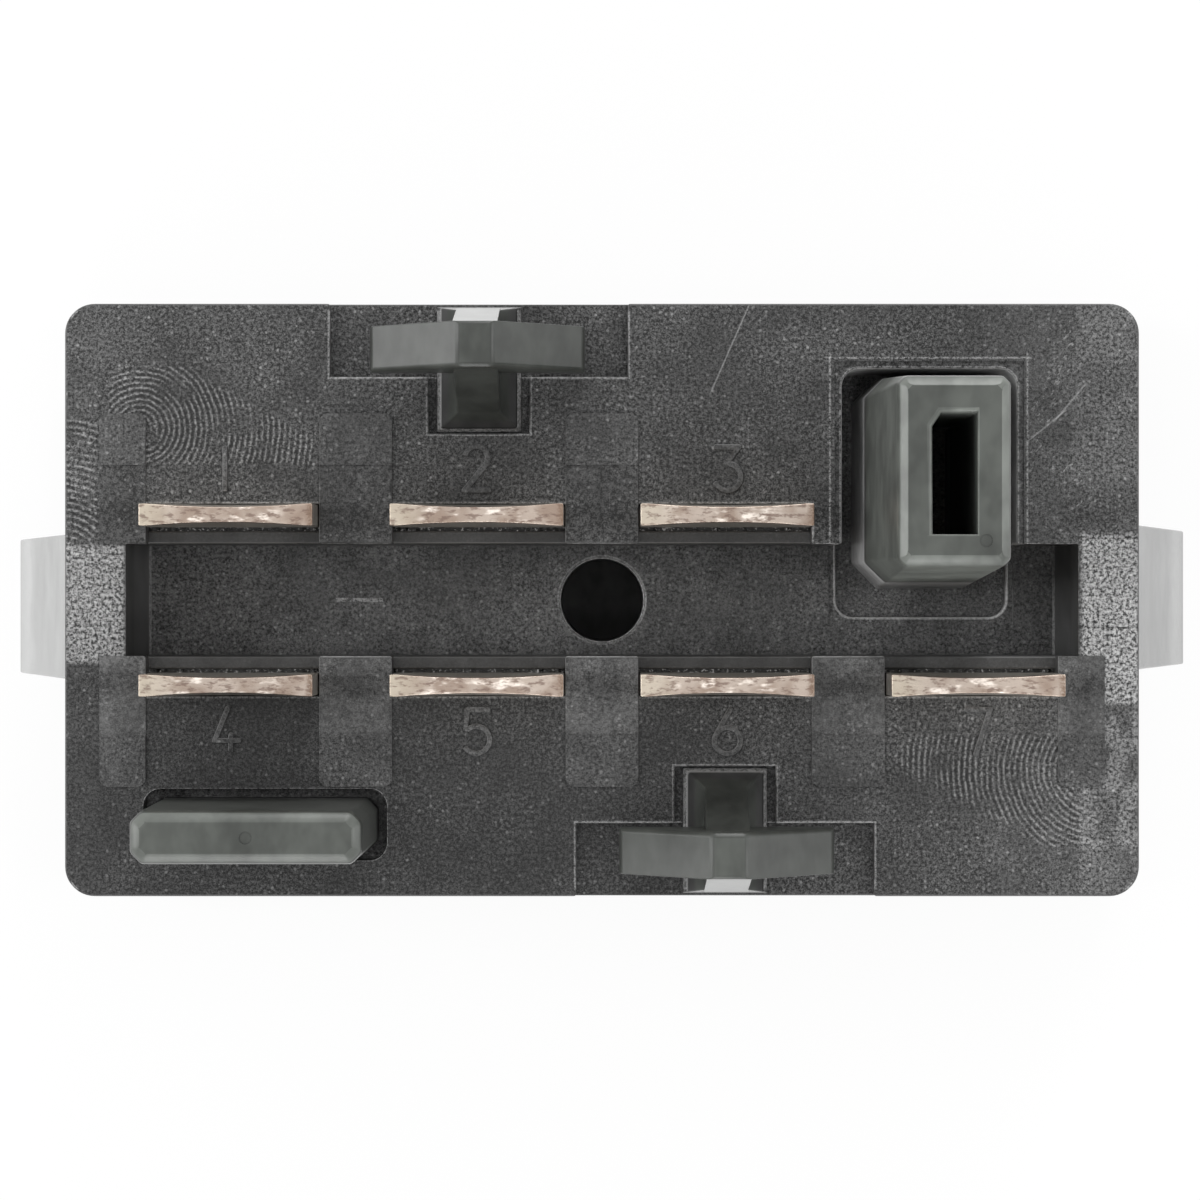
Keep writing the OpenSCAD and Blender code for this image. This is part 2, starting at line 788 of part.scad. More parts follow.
module finger_hollow() {
    across_y(-big, big) polygon([[-dish_half[0], -1], [-dish_half[0], button_sink],
        [-dish_half[1], button_sink + dish_d], [dish_half[1], button_sink + dish_d],
        [dish_half[0], button_sink], [dish_half[0], -1]]);
}

module button_cap() {
    color([0.78, 0.03, 0.03]) difference() {
        union() {
            round_slab([cap_half_l, cap_half_w], cap_r, button_sink, skirt_end);
            for (sx = [-1, 1], sy = [-1, 1])
                translate([sx * snap_x, sy * cap_half_w, 0])
                    slab([stop_w / 2, stop_out], stop_z, skirt_end);
        }
        slab([cap_half_l - ledge_wall, cap_half_w - ledge_wall], cap_back, ledge_z + eps);
        difference() {
            slab([cap_half_l - skirt_wall, cap_half_w - skirt_wall], ledge_z, skirt_end + 1);
            cap_snaps();
        }
        finger_hollow();
        translate([0, 0, -1]) linear_extrude(inlay_z + 1) symbol_lines();
    }
}

// Bumps that hold the slider's plate down on the ledge
module cap_snaps() {
    for (sx = [-1, 1], sy = [-1, 1]) translate([sx * cap_snap_x, 0, 0])
        rotate([0, 0, sy > 0 ? 0 : 180]) across_x(-cap_snap_w / 2, cap_snap_w / 2)
            polygon([[plate_half_w + plate_gap + eps, plate_top + 0.05],
                [plate_half_w + plate_gap - cap_snap_in, plate_top + 0.05],
                [plate_half_w + plate_gap + eps, plate_top + 1]]);
}

// One triangle inside the other
module symbol_lines() {
    for (r = symbol_r) translate([0, -symbol_r[0] / 4]) difference() {
        triangle(r);
        triangle(r - 2 * symbol_line);
    }
}

module triangle(r) {
    polygon([for (a = [90, 210, 330]) r * [cos(a), sin(a)]]);
}

module hazard_symbol() {
    color([0.93, 0.92, 0.88]) difference() {
        translate([0, 0, button_sink]) linear_extrude(inlay_z - button_sink) symbol_lines();
        finger_hollow();
    }
}

module diffuser() {
    color([0.9, 0.9, 0.86])
        slab([cap_half_l - ledge_wall - 0.05, cap_half_w - ledge_wall - 0.05],
            cap_back, cap_back + diffuser_t);
}

// ---------------------------------------------------------------- slider and contacts

// Places of the three contact bridges: side of the middle plane and place along the row
bridge_places = [[1, -1], [-1, -1], [-1, 1]];

module at_bridge(k) {
    translate([bridge_places[k][1] * blade_pitch, bridge_places[k][0] * contact_y, 0]) children();
}

module slider() {
    color([0.85, 0.84, 0.8]) difference() {
        union() {
            slab([plate_half_l, plate_half_w], ledge_z, plate_top);
            translate([0, 0, plate_top - eps]) cylinder(d = boss_d, h = boss_h);
            for (k = [0:2]) at_bridge(k) contact_post();
            for (sx = [-1, 1], sy = [-1, 1])
                translate([sx * peg_xy[0], sy * peg_xy[1], cap_back + diffuser_t])
                    cylinder(d = peg_d, h = ledge_z - cap_back - diffuser_t + eps);
            translate([cam_x[0], -cam_half_w, plate_top - eps])
                cube([cam_x[1] - cam_x[0], 2 * cam_half_w, cam_top - plate_top + eps]);
        }
        for (s = [-1, 1]) translate([s * lamp_x, 0, ledge_z - eps])
            cylinder(d = lamp_hole_d, h = plate_t + 2 * eps);
        cam_groove();
    }
}

module contact_post() {
    head_z = bridge_top + post_head_gap;
    translate([0, 0, plate_top - eps]) cylinder(d = post_d, h = head_z - plate_top + 2 * eps);
    translate([0, 0, head_z]) cylinder(d = post_head_d, h = post_head_h);
}

// The heart-shaped track: a straight lane in, the locked notch, and a lane back
module cam_groove() {
    lock_z = pin_rest_z - travel;
    track = [[0, pin_rest_z], [-pin_throw, lock_z - 0.15], [0.1, lock_z + 0.75],
        [1, lock_z + 0.1], [1, lock_z + 1.6], [0, pin_rest_z]];
    translate([cam_x[0] - eps, 0, 0]) rotate([90, 0, 90]) linear_extrude(cam_d + eps)
        path(track, cam_w);
}

module contact_bridge(k) {
    color([0.8, 0.5, 0.3]) at_bridge(k) difference() {
        slab([bridge[0] / 2, bridge[1] / 2], bridge_under, bridge_top);
        translate([0, 0, bridge_under - eps]) cylinder(d = post_hole_d, h = bridge[2] + 2 * eps);
        for (s = [-1, 1]) translate([s * rivet_x, 0, bridge_under - eps])
            cylinder(d = rivet_shank_d, h = bridge[2] + 2 * eps, $fn = 32);
    }
}

module moving_rivets() {
    color([0.85, 0.85, 0.83]) for (k = [0:2], s = [-1, 1]) at_bridge(k)
        translate([s * rivet_x, 0, 0]) {
            translate([0, 0, bridge_top]) cylinder(d = rivet[0], h = rivet[1], $fn = 32);
            translate([0, 0, bridge_under])
                cylinder(d = rivet_shank_d, h = bridge[2] + eps, $fn = 32);
        }
}

module fixed_rivets() {
    color([0.85, 0.85, 0.83]) for (k = [0:2], s = [-1, 1]) at_bridge(k)
        translate([s * rivet_x, 0, 0]) {
            translate([0, 0, fixed_face]) cylinder(d = rivet[0], h = rivet[1], $fn = 32);
            translate([0, 0, foot_z - eps])
                cylinder(d = rivet_shank_d, h = foot_t + eps, $fn = 32);
        }
}

// Height of a coil's wire centre after t turns, with a closed turn at each end
function coil_z(t, turns, wire, length) =
    let (closed = 1.1 * wire, open = (length - wire - 2 * closed) / (turns - 2))
    wire / 2 + (t < 1 ? closed * t
        : t > turns - 1 ? length - wire - closed * (turns - t)
        : closed + open * (t - 1));

// A round-wire coil spring that stands on Z = 0
module coil(coil_size, length, steps, sides) {
    r = coil_size[0];
    wire = coil_size[1];
    turns = coil_size[2];
    rings = round(turns * steps);
    points = [for (i = [0:rings], j = [0:sides - 1])
        let (t = turns * i / rings, a = 360 * t, b = 360 * (j + 0.5) / sides,
            reach = r + wire / 2 * cos(b))
        [reach * cos(a), reach * sin(a), coil_z(t, turns, wire, length) + wire / 2 * sin(b)]];
    sides_of_wire = [for (i = [0:rings - 1], j = [0:sides - 1])
        let (a = i * sides + j, b = i * sides + (j + 1) % sides)
        each [[a, b, a + sides], [b, b + sides, a + sides]]];
    first = [for (j = [1:sides - 2]) [0, j + 1, j]];
    last = [for (j = [1:sides - 2]) rings * sides * [1, 1, 1] + [0, j, j + 1]];
    polyhedron(points, concat(sides_of_wire, first, last));
}

module return_spring() {
    color([0.7, 0.7, 0.7]) translate([0, 0, plate_top + coil_seat])
        coil(return_coil, floor_under - plate_top - 2 * coil_seat, 16, 8);
}

module contact_spring(k) {
    color([0.7, 0.7, 0.7]) at_bridge(k) translate([0, 0, plate_top + coil_seat])
        coil(contact_coil, bridge_under - plate_top - 2 * coil_seat, 14, 6);
}

// ---------------------------------------------------------------- catch pin and lamps

module catch_pin() {
    color([0.75, 0.75, 0.75]) {
        translate([pin_x, 0, pin_rest_z]) cylinder(d = pin_d, h = pin_pivot_z - pin_rest_z, $fn = 32);
        for (z = [pin_rest_z, pin_pivot_z]) translate([pin_x, 0, z]) sphere(d = pin_d, $fn = 32);
        translate([pin_x, 0, pin_rest_z]) rotate([0, 90, 0])
            cylinder(d = pin_d, h = cam_x[0] + cam_d - pin_x - 0.1, $fn = 32);
        translate([pin_bearing_x[0] + 0.1, 0, pin_pivot_z]) rotate([0, 90, 0])
            cylinder(d = pin_d, h = pin_x - pin_bearing_x[0] - 0.1, $fn = 32);
    }
}

module lamp(s) {
    r = lamp_d / 2;
    color([0.95, 0.93, 0.85]) translate([s * lamp_x, 0, 0]) rotate_extrude() {
        translate([0, lamp_tip + r]) square([r, holder_bottom - lamp_tip - r]);
        intersection() {
            translate([0, lamp_tip + r]) circle(r);
            translate([0, lamp_tip]) square([r, r]);
        }
    }
}

module lamp_holder(s) {
    color([0.9, 0.9, 0.88]) difference() {
        translate([s * lamp_x, 0, holder_bottom]) cylinder(d = holder_d, h = holder_h);
        leads_of_lamp(s);
    }
}

// Two leads that rise from a lamp into its holder and turn out to the blades beside it
module leads_of_lamp(s) {
    blade_face = row_y - blade_t / 2;
    for (sy = [-1, 1])
        translate([s * lamp_x, 0, 0]) rotate([0, 0, sy > 0 ? 0 : 180])
            across_x(-lead_w / 2, lead_w / 2) polygon([
                [lead_y, holder_bottom], [lead_y + lead_t, holder_bottom],
                [lead_y + lead_t, lead_z], [blade_face, lead_z],
                [blade_face, lead_z + lead_t], [lead_y, lead_z + lead_t]]);
}

module lamp_leads() {
    color([0.8, 0.78, 0.7]) for (s = [-1, 1]) leads_of_lamp(s);
}

rear_housing();
front_bezel();
terminal(1);  // terminal_1
terminal(2);  // terminal_2
terminal(3);  // terminal_3
terminal(4);  // terminal_4
terminal(5);  // terminal_5
terminal(6);  // terminal_6
terminal(7);  // terminal_7
button_cap();
hazard_symbol();
diffuser();
slider();
return_spring();
contact_bridge(0);  // bridge_upper_left
contact_bridge(1);  // bridge_lower_left
contact_bridge(2);  // bridge_lower_right
contact_spring(0);  // spring_upper_left
contact_spring(1);  // spring_lower_left
contact_spring(2);  // spring_lower_right
moving_rivets();
fixed_rivets();
catch_pin();
lamp(-1);  // lamp_left
lamp(1);  // lamp_right
lamp_holder(-1);  // lamp_holder_left
lamp_holder(1);  // lamp_holder_right
lamp_leads();
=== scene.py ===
"""Looks of the hazard light switch: rounded edges, procedural materials, floor, light and camera.

The frame is in metres; the material code below works in millimetres of the same frame.
"""

import math
import random
from types import SimpleNamespace

import bmesh
import bpy
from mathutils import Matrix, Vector


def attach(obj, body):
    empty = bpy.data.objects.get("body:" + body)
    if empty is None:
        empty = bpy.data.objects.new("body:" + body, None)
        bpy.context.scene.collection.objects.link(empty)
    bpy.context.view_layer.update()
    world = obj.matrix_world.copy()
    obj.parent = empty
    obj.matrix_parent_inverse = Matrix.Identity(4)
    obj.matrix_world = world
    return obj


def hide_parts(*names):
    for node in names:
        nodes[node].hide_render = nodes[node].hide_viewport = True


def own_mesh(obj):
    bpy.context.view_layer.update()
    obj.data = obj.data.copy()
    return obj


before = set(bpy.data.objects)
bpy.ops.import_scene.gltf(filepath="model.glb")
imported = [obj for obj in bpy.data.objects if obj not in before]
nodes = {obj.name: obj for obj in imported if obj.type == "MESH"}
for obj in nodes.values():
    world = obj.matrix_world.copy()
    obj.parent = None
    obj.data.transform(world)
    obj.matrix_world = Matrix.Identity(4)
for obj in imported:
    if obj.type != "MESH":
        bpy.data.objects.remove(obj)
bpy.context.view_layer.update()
MM = 0.001

# Levels and places of the rear face, in millimetres of the frame
LAND_Z = 26.0
PITCH = 9.1
ROW_Y = 3.1
HALF_L, HALF_W = 19.85, 10.95
FLOOR_Z = 21.6
SILL_Z = 25.0
SILL_Y, BLADE_INNER_Y = 2.565, 2.7
SLOT_WIDTH = 6.4
STRIP_Z, HIGH_STRIP_Z, DIGIT_Z = LAND_Z + 0.06, LAND_Z + 0.12, LAND_Z + 0.08

# Zones of the rear face: its range in x, then its range in y
MOAT_ZONE = (8.6, 15.7), (-1.1, 8.9)
POST_ZONE = (8.0, 17.0), (-2.0, 9.5)
RIB_ZONE = (-17.5, -7.5), (-10.5, -6.0)
POCKET_X, POCKET_TOP = (8.42, 15.72), 8.95

# The camera stands over the middle of the rear face
CAMERA_X = -0.074
CAMERA_HEIGHT = 160.0
SENSOR_WIDTH, LENS_LENGTH = 36.0, 129.9


def add_object(name, data):
    """A new object in the scene."""
    piece = bpy.data.objects.new(name, data)
    bpy.context.scene.collection.objects.link(piece)
    return piece


# ------------------------------------------------------------------ shader helpers


def add_node(tree, kind, inputs, output=0, **settings):
    """A new node with its inputs linked or set. Returns one of its outputs."""
    node = tree.nodes.new(kind)
    for key, value in settings.items():
        setattr(node, key, value)
    for key, value in inputs.items():
        if isinstance(value, bpy.types.NodeSocket):
            tree.links.new(value, node.inputs[key])
        elif value is not None:
            node.inputs[key].default_value = value
    return node.outputs[output]


class Shade:
    """One material. Each method adds a node and returns the output that the next one takes."""

    def __init__(self, name, **constants):
        self.material = bpy.data.materials.new(name)
        self.material.use_nodes = True
        self.tree = self.material.node_tree
        self.shader = self.tree.nodes["Principled BSDF"]
        for socket, value in constants.items():
            self.shader.inputs[socket.replace("_", " ")].default_value = value
        self.place = self.vector("SCALE", self.add("ShaderNodeTexCoord", {}, "Object"), scale=1 / MM)
        self.normal = self.add("ShaderNodeVectorTransform",
            {0: self.add("ShaderNodeNewGeometry", {}, "True Normal")},
            vector_type="NORMAL", convert_from="WORLD", convert_to="OBJECT")
        self.x, self.y, self.z = self.split(self.place)
        self.up = self.split(self.normal)[2]

    def add(self, kind, inputs, output=0, **settings):
        return add_node(self.tree, kind, inputs, output, **settings)

    def split(self, vector):
        """The three parts of a vector."""
        out = self.add("ShaderNodeSeparateXYZ", {0: vector})
        return out.node.outputs[0], out.node.outputs[1], out.node.outputs[2]

    def join(self, x, y, z):
        return self.add("ShaderNodeCombineXYZ", {0: x, 1: y, 2: z})

    def math(self, operation, a, b=None):
        return self.add("ShaderNodeMath", {0: a, 1: b}, operation=operation)

    def vector(self, operation, a, b=None, scale=None):
        return self.add("ShaderNodeVectorMath", {0: a, 1: b, "Scale": scale},
            output=1 if operation in ("LENGTH", "DOT_PRODUCT") else 0, operation=operation)

    def noise(self, scale, detail=2.0, roughness=0.5, at=None):
        return self.add("ShaderNodeTexNoise", {"Vector": at or self.place, "Scale": scale,
            "Detail": detail, "Roughness": roughness})

    def painted_glints(self, scale, share):
        """Small round dots of uneven strength, in a share of the cells of that scale, as painted glints.
        """
        distance = self.add("ShaderNodeTexVoronoi", {"Vector": self.place, "Scale": scale})
        chance = self.split(distance.node.outputs["Color"])[0]
        return self.times(self.rise(distance, 0.12, 0.36, 1.0, 0.0), self.rise(chance, 1 - share, 1.0))

    def rise(self, value, low, high, bottom=0.0, top=1.0):
        """A smooth step from bottom at low to top at high."""
        return self.add("ShaderNodeMapRange", {"Value": value, "From Min": low, "From Max": high,
            "To Min": bottom, "To Max": top}, interpolation_type="SMOOTHSTEP")

    def between(self, value, low, high, soft):
        """1 between low and high, with soft edges outside them."""
        return self.times(self.rise(value, low - soft, low), self.rise(value, high, high + soft, 1.0, 0.0))

    def area(self, xs, ys, soft=0.05):
        """1 over a rectangle of the rear face."""
        return self.times(self.between(self.x, *xs, soft), self.between(self.y, *ys, soft))

    def line(self, a, b, width):
        """1 along a straight line between two points of the rear face."""
        (ax, ay), (bx, by) = a, b
        length = math.hypot(bx - ax, by - ay)
        ux, uy = (bx - ax) / length, (by - ay) / length
        along = self.plus(self.times(self.minus(self.x, ax), ux), self.times(self.minus(self.y, ay), uy))
        across = self.minus(self.times(self.minus(self.y, ay), ux), self.times(self.minus(self.x, ax), uy))
        return self.times(self.between(along, 0.0, length, 0.3),
            self.rise(self.math("ABSOLUTE", across), 0.0, width, 1.0, 0.0))

    def plus(self, a, b):
        return self.math("ADD", a, b)

    def minus(self, a, b):
        return self.math("SUBTRACT", a, b)

    def times(self, a, b):
        return self.math("MULTIPLY", a, b)

    def blend(self, share, a, b):
        """A value that goes from a to b with share."""
        return self.add("ShaderNodeMix", {0: share, 2: a, 3: b}, data_type="FLOAT")

    def dye(self, share, a, b):
        """A colour that goes from a to b with share."""
        return self.add("ShaderNodeMix", {0: share, 6: rgba(a), 7: rgba(b)}, output=2, data_type="RGBA")

    def tint(self, colour, factor):
        """A colour made darker or lighter by a factor."""
        return self.vector("SCALE", colour, scale=factor)

    def grey(self, value):
        return self.join(value, value, value)

    def bump(self, height, depth, normal=None):
        """Height from 0 to 1 stands for depth in millimetres."""
        return self.add("ShaderNodeBump", {"Height": height, "Distance": depth * MM,
            "Strength": 1.0, "Normal": normal})

    def finish(self, colour, roughness, normal):
        """The material; a roughness of None keeps the constant given to the shader."""
        for socket, value in (("Base Color", colour), ("Roughness", roughness), ("Normal", normal)):
            if value is not None:
                self.tree.links.new(value, self.shader.inputs[socket])
        return self.material


def rgba(colour):
    return (*colour, 1.0) if isinstance(colour, tuple) else colour


# ------------------------------------------------------------------ edge rounding

FEATURE_ANGLE = math.radians(20)  # a smaller bend belongs to a curved surface
TURN_LIMIT = math.radians(40)  # an outline that turns by more than this ends there
CREASE_ANGLE = math.radians(50)  # more than any bend inside a rounded edge
WELD_DISTANCE = 2e-7
FLAT_ANGLE = math.radians(0.3)
ROOM_SHARE = 0.42  # part of the room beside an edge that its rounding may take
LEAST_WEIGHT = 0.04  # an edge rounded less than this is kept sharp


def is_feature(edge):
    return len(edge.link_faces) == 2 and edge.calc_face_angle(0.0) > FEATURE_ANGLE


def onward(edge, vertex):
    """The feature edge that carries an outline on past a vertex without a sharp turn, if any."""
    here = (vertex.co - edge.other_vert(vertex).co).normalized()
    for other in vertex.link_edges:
        if other is not edge and is_feature(other):
            there = (other.other_vert(vertex).co - vertex.co).normalized()
            if here.dot(there) > math.cos(TURN_LIMIT):
                return other
    return None


def same_bend(edge, reach=4):
    """The edge and the ones that carry its outline on, up to a few edges either way."""
    bend = {edge}
    for vertex in edge.verts:
        current = edge
        for _ in range(reach):
            other = onward(current, vertex)
            if other is None or other in bend:
                break
            bend.add(other)
            vertex = other.other_vert(vertex)
            current = other
    return bend


def point_gap(point, edge):
    """Distance from a point to an edge."""
    start, run = edge.verts[0].co, edge.verts[1].co - edge.verts[0].co
    share = min(max((point - start).dot(run) / run.length_squared, 0.0), 1.0)
    return (start + run * share - point).length


def edge_room(edge, face):
    """Distance from an edge to the nearest outline of a face that isn't its own, in metres."""
    bend = same_bend(edge)
    room = math.inf
    for other in face.edges:
        if other not in bend and not set(other.verts) & set(edge.verts) and is_feature(other):
            room = min(room, *(point_gap(v.co, other) for v in edge.verts),
                *(point_gap(v.co, edge) for v in other.verts))
    return room


def even_out(bm, weights):
    """Gives the edges of one bend the smallest weight among them, so that a rounding runs on evenly."""
    waiting = [edge for edge in bm.edges if edge[weights] > 0]
    while waiting:
        edge = waiting.pop()
        for vertex in edge.verts:
            other = onward(edge, vertex)
            if other is not None and other[weights] > edge[weights] + 1e-6:
                other[weights] = edge[weights]
                waiting.append(other)


def bake_rounding(piece):
    """Gives a piece its rounded mesh, with a crease where a rounded edge ends on another face."""
    depsgraph = bpy.context.evaluated_depsgraph_get()
    rounded = bpy.data.meshes.new_from_object(
        piece.evaluated_get(depsgraph), preserve_all_data_layers=True, depsgraph=depsgraph
    )
    bm = bmesh.new()
    bm.from_mesh(rounded)
    for edge in bm.edges:
        if edge.calc_face_angle(math.pi) > CREASE_ANGLE:
            edge.smooth = False
    bm.to_mesh(rounded)
    bm.free()
    piece.modifiers.clear()
    piece.data = rounded
    rounded.name = piece.name


def soften(node, body, radius, share=lambda edge: 1.0, segments=2):
    """A copy of a CAD node in its place, with its outer edges rounded.

    radius is in millimetres. share gives the part of it that an edge takes, and 0 keeps the edge
    sharp. An edge with little room beside it takes less.
    """
    mesh = bpy.data.meshes.new(node + "_soft")
    bm = bmesh.new()
    bm.from_mesh(nodes[node].data)
    bmesh.ops.remove_doubles(bm, verts=bm.verts, dist=WELD_DISTANCE)
    bmesh.ops.dissolve_limit(bm, angle_limit=FLAT_ANGLE, verts=bm.verts, edges=bm.edges)
    weights = bm.edges.layers.float.new("bevel_weight_edge")
    for edge in bm.edges:
        if is_feature(edge):
            room = min(edge_room(edge, face) for face in edge.link_faces)
            edge.smooth = edge.is_convex and share(edge) > 0
            edge[weights] = edge.smooth * min(share(edge), ROOM_SHARE * room / (radius * MM))
    even_out(bm, weights)
    for edge in bm.edges:
        if is_feature(edge) and edge[weights] < LEAST_WEIGHT:
            edge.smooth = False
            edge[weights] = 0.0
    for face in bm.faces:
        face.smooth = True
    bm.to_mesh(mesh)
    bm.free()
    piece = add_object(mesh.name, mesh)
    bevel = piece.modifiers.new("Round", "BEVEL")
    bevel.limit_method = "WEIGHT"
    bevel.width = radius * MM
    bevel.segments = segments
    bevel.use_clamp_overlap = False
    bevel.loop_slide = False
    bevel.face_strength_mode = "FSTR_ALL"
    bake_rounding(piece)
    flat = piece.modifiers.new("Flat faces", "WEIGHTED_NORMAL")
    flat.use_face_influence = True
    flat.keep_sharp = True
    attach(piece, body)
    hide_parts(node)
    return piece


def is_low_wall(face):
    """True on a wall too low for a rounded edge: those of the strips and ejector marks."""
    levels = [v.co.z / MM for v in face.verts]
    digit = DIGIT_Z - 0.01 < max(levels) < DIGIT_Z + 0.01
    return abs(face.normal.z) < 0.5 and max(levels) - min(levels) < 0.2 and not digit


def housing_share(edge):
    """Small at the body, full at the post, rib and latches, and none at low marks and down the stems."""
    stem = any(abs(v.co.y) / MM > HALF_W - 0.25 and v.co.z / MM > LAND_Z + 0.5 for v in edge.verts)
    if stem or any(is_low_wall(face) for face in edge.link_faces):
        return 0.0
    return 1.0 if min(v.co.z for v in edge.verts) / MM > LAND_Z + 2.0 else 0.45


def paint(piece, material):
    """Gives a piece one material."""
    piece.data.materials.clear()
    piece.data.materials.append(material)


# ------------------------------------------------------------------ black nylon of the housing


def ripples(m, centre, spacing, zone, soft):
    """Cutter marks round a centre, from -1 to 1, that fade at the edges of a zone and in patches."""
    wobble = m.times(m.minus(m.noise(1.4, detail=2.0), 0.5), 0.13)
    offset = m.vector("SUBTRACT", m.join(m.x, m.y, 0.0), (*centre, 0.0))
    radius = m.plus(m.vector("LENGTH", offset), wobble)
    wave = m.math("SINE", m.times(radius, 2 * math.pi / spacing))
    patchy = m.rise(m.noise(1.1, detail=3.0), 0.30, 0.52, 0.2, 1.0)
    return m.times(wave, m.times(m.area(*zone, soft), patchy))


def housing_masks(m):
    """The parts of the housing, each a value from 0 to 1."""
    on = SimpleNamespace()
    x_out, y_out = m.math("ABSOLUTE", m.x), m.math("ABSOLUTE", m.y)
    on.level = m.rise(m.up, 0.93, 0.99)
    on.land = m.times(on.level, m.between(m.z, LAND_Z - 0.6, LAND_Z + 0.03, 0.02))
    on.strip = m.times(on.level, m.between(m.z, STRIP_Z - 0.015, HIGH_STRIP_Z + 0.08, 0.01))
    on.high_strip = m.times(on.level, m.between(m.z, HIGH_STRIP_Z - 0.02, HIGH_STRIP_Z + 0.08, 0.01))
    on.digit = m.times(on.level, m.between(m.z, DIGIT_Z - 0.01, DIGIT_Z + 0.01, 0.005))
    on.sill = m.times(on.level, m.between(m.z, SILL_Z - 0.05, SILL_Z + 0.05, 0.02))
    on.sunk = m.times(on.level, m.between(m.z, 20.0, LAND_Z - 0.9, 0.05))
    on.dash = m.times(on.level, m.between(m.z, FLOOR_Z + 0.05, FLOOR_Z + 0.15, 0.01))
    on.moat = m.times(m.area(*MOAT_ZONE, 0.02), m.rise(m.z, LAND_Z - 0.15, LAND_Z - 0.1, 1.0, 0.0))
    on.bore = m.times(m.rise(m.vector("LENGTH", m.join(m.x, m.y, 0.0)), 1.6, 1.7, 1.0, 0.0),
        m.rise(m.z, FLOOR_Z - 0.12, FLOOR_Z - 0.08, 1.0, 0.0))
    on.above = m.rise(m.z, LAND_Z + 0.35, LAND_Z + 0.6)
    on.post = m.times(m.area(*POST_ZONE), m.rise(m.z, LAND_Z - 0.5, LAND_Z))
    on.rib = m.times(m.area(*RIB_ZONE), on.above)
    on.arms = m.rise(x_out, HALF_L + 0.03, HALF_L + 0.1)
    wall = m.math("MAXIMUM", m.rise(x_out, HALF_L - 0.45, HALF_L - 0.4),
        m.rise(y_out, HALF_W - 0.45, HALF_W - 0.4))
    wall = m.times(wall, m.rise(m.math("ABSOLUTE", m.up), 0.5, 0.6, 1.0, 0.0))
    on.outer = m.times(wall, m.times(m.minus(1.0, on.arms), m.rise(m.z, LAND_Z, LAND_Z + 0.1, 1.0, 0.0)))
    on.inside = m.times(m.rise(x_out, HALF_L - 0.3, HALF_L - 0.2, 1.0, 0.0),
        m.rise(y_out, HALF_W - 0.3, HALF_W - 0.2, 1.0, 0.0))
    on.finer = m.times(m.rise(m.x, 5.0, 3.0), m.rise(m.y, 0.0, -1.0))
    rear = m.plus(m.plus(m.times(on.land, m.blend(on.finer, 1.0, 0.65)), on.sunk), m.times(on.strip, 0.7))
    on.eroded = m.plus(m.times(rear, m.blend(on.sill, 1.0, 0.15)), m.times(on.outer, 0.6))
    row = m.math("ABSOLUTE", m.minus(y_out, ROW_Y))
    gate = m.rise(m.math("COSINE", m.times(m.x, 2 * math.pi / PITCH)), 0.55, 0.98)
    on.shade_spots = m.times(m.times(m.rise(row, 0.15, 0.95, 1.0, 0.0), gate), on.level)
    faded = m.rise(m.minus(y_out, m.times(x_out, 0.55)), -0.2, 0.5, 1.0, 0.0)
    upper_arcs = ripples(m, (-17.1, 6.35), 0.205, ((-18.1, -10.8), (5.15, 8.5)), 0.3)
    lower_arcs = ripples(m, (18.27, -6.28), 0.21, ((11.0, 17.6), (-9.0, -5.15)), 0.3)
    end_arcs = ripples(m, (-20.1, 0.95), 0.235, ((-HALF_L, -18.75), (1.6, 6.6)), 0.2)
    on.machined = m.times(m.plus(m.times(m.plus(upper_arcs, lower_arcs), faded), end_arcs), on.land)
    return on


def eroded_grain(m):
    """The finish of a spark-eroded mould: fine dots, a speckle of dark and light ones, and painted glints
    as bright ones.
    """
    dots = m.plus(m.times(m.noise(8.0, detail=3.0, roughness=0.8), 0.75),
        m.times(m.noise(19.0, detail=1.0), 0.25))
    # Painted glints: bright dots in a share of the cells.
    painted_glints = m.plus(m.times(m.painted_glints(4.6, 0.5), 1.3), m.times(m.painted_glints(7.0, 0.6), 0.8))
    speckle = m.plus(m.rise(dots, 0.36, 0.61, -0.62, 0.42), m.rise(dots, 0.56, 0.72, 0.0, 0.6))
    return dots, m.plus(speckle, painted_glints)


